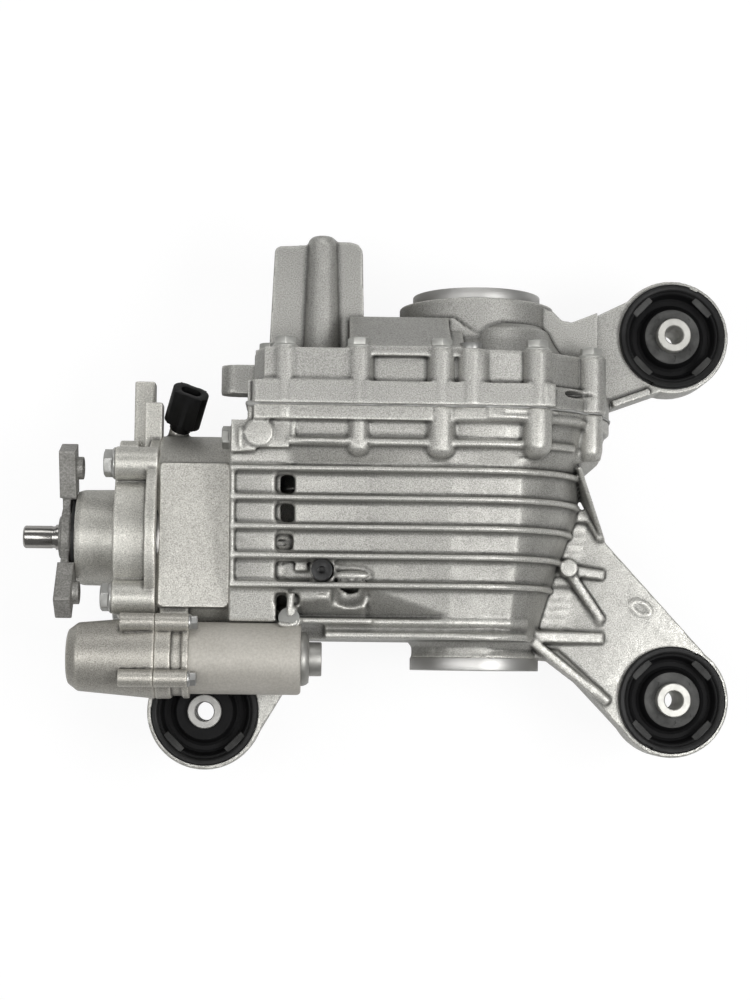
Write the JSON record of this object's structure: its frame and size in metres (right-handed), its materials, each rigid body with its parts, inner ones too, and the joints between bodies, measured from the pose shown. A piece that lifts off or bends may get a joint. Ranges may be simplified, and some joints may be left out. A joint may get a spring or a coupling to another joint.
{
  "type": "rear_differential",
  "caption": "Rear axle differential for a car: finned aluminium housing and cover, three rubber bushings, and an electro-hydraulic multi-plate coupling with its pump on the input side.",
  "frame": {"origin": "centre of the input flange's bolt circle, in the flange's mating face", "axes": "+X runs from the input flange to the rear of the car along the pinion axis, +Y runs along the output axis to the side with the cover, +Z is parallel to the bushing bolts and points at the picture's camera"},
  "size_m": [0.4677, 0.3488, 0.1838],
  "materials": {
    "cast_alloy": "satin",
    "turned_alloy": "brushed",
    "zinc_bolt": "satin",
    "forged_steel": "matte",
    "bare_steel": "satin",
    "gear_steel": "satin",
    "friction_lining": "matte",
    "rubber": "matte",
    "black_plastic": "matte",
    "contact_tin": "satin",
    "sealant": "matte",
    "black_coated": "satin",
    "magnet": "matte"
  },
  "bodies": {
    "casing": {"main_housing": "cast_alloy", "side_cover": "cast_alloy", "cover_gasket": "sealant", "cover_bolts": "zinc_bolt", "coupling_housing": "cast_alloy", "front_cover": "cast_alloy", "long_bolts": "zinc_bolt", "input_seal": "rubber", "side_bolt": "zinc_bolt", "level_plug": "black_coated", "drain_plug": "zinc_bolt", "filler_plug": "zinc_bolt", "connector": "black_plastic", "connector_pins": "contact_tin", "pump_housing": "cast_alloy", "pump_body": "cast_alloy", "pump_bolts": "zinc_bolt", "motor_can": "turned_alloy", "motor_end_cap": "zinc_bolt", "motor_magnets": "magnet", "input_bearing_outer": "bare_steel", "pinion_seal": "rubber", "tail_bearing_cup": "bare_steel", "head_bearing_cup": "bare_steel", "case_bearing_cups": "bare_steel", "seal_carriers": "turned_alloy", "output_seals": "rubber", "bush_shells": "black_coated", "bush_rubbers": "rubber", "cover_bush_sleeve": "turned_alloy", "rear_bush_sleeve": "turned_alloy", "front_bush_sleeve": "turned_alloy"},
    "input": {"input_flange": "forged_steel", "centring_bolt": "bare_steel", "input_shaft": "bare_steel", "input_bearing_inner": "bare_steel", "clutch_drum": "bare_steel", "outer_plates": "bare_steel"},
    "input_balls": {"input_bearing_balls": "bare_steel"},
    "piston": {"clutch_piston": "forged_steel"},
    "pinion": {"drive_pinion": "gear_steel", "pinion_nut": "zinc_bolt", "pinion_spacer": "bare_steel", "tail_bearing_cone": "bare_steel", "head_bearing_cone": "bare_steel", "clutch_hub": "bare_steel", "inner_plates": "friction_lining"},
    "tail_rollers": {"tail_bearing_rollers": "bare_steel"},
    "head_rollers": {"head_bearing_rollers": "bare_steel"},
    "crown": {"ring_gear": "gear_steel", "ring_gear_bolts": "zinc_bolt", "diff_case": "forged_steel", "cross_shaft": "bare_steel", "case_bearing_cones": "bare_steel"},
    "case_rollers": {"case_bearing_rollers": "bare_steel"},
    "side_upper": {"side_gear_upper": "gear_steel"},
    "side_lower": {"side_gear_lower": "gear_steel"},
    "spider_front": {"spider_gear_front": "gear_steel"},
    "spider_rear": {"spider_gear_rear": "gear_steel"},
    "armature": {"motor_armature": "bare_steel"}
  },
  "joints": [
    {"name": "input_spin", "type": "hinge", "parent": "casing", "child": "input", "pos_m": [0, 0, 0], "axis": [1, 0, 0], "continuous": true},
    {"name": "input_ball_spin", "type": "hinge", "parent": "casing", "child": "input_balls", "pos_m": [0, 0, 0], "axis": [1, 0, 0], "continuous": true},
    {"name": "piston_slide", "type": "slide", "parent": "casing", "child": "piston", "axis": [-1, 0, 0], "range_m": [0, 0.0015]},
    {"name": "ring_spin", "type": "hinge", "parent": "casing", "child": "crown", "pos_m": [0.274, 0, 0], "axis": [0, 1, 0], "continuous": true},
    {"name": "pinion_spin", "type": "hinge", "parent": "casing", "child": "pinion", "pos_m": [0.274, 0, 0], "axis": [1, 0, 0], "continuous": true},
    {"name": "tail_roller_spin", "type": "hinge", "parent": "casing", "child": "tail_rollers", "pos_m": [0.274, 0, 0], "axis": [1, 0, 0], "continuous": true},
    {"name": "head_roller_spin", "type": "hinge", "parent": "casing", "child": "head_rollers", "pos_m": [0.274, 0, 0], "axis": [1, 0, 0], "continuous": true},
    {"name": "case_roller_spin", "type": "hinge", "parent": "casing", "child": "case_rollers", "pos_m": [0.274, 0, 0], "axis": [0, 1, 0], "continuous": true},
    {"name": "side_upper_spin", "type": "hinge", "parent": "crown", "child": "side_upper", "pos_m": [0.274, 0, 0], "axis": [0, 1, 0], "continuous": true},
    {"name": "side_lower_spin", "type": "hinge", "parent": "crown", "child": "side_lower", "pos_m": [0.274, 0, 0], "axis": [0, 1, 0], "continuous": true},
    {"name": "spider_front_spin", "type": "hinge", "parent": "crown", "child": "spider_front", "pos_m": [0.274, 0, 0], "axis": [1, 0, 0], "continuous": true},
    {"name": "spider_rear_spin", "type": "hinge", "parent": "crown", "child": "spider_rear", "pos_m": [0.274, 0, 0], "axis": [1, 0, 0], "continuous": true},
    {"name": "armature_spin", "type": "hinge", "parent": "casing", "child": "armature", "pos_m": [0.07, -0.0793, 0.052], "axis": [1, 0, 0], "continuous": true}
  ],
  "couplings": [
    {"joint": "input_ball_spin", "follows": "input_spin", "ratio": 0.40824},
    {"joint": "pinion_spin", "follows": "ring_spin", "ratio": 2.5385},
    {"joint": "tail_roller_spin", "follows": "ring_spin", "ratio": 1.0971},
    {"joint": "head_roller_spin", "follows": "ring_spin", "ratio": 1.1125},
    {"joint": "case_roller_spin", "follows": "ring_spin", "ratio": 0.45017},
    {"joint": "side_lower_spin", "follows": "side_upper_spin", "ratio": -1},
    {"joint": "spider_rear_spin", "follows": "side_upper_spin", "ratio": -1.4},
    {"joint": "spider_front_spin", "follows": "side_upper_spin", "ratio": 1.4}
  ]
}
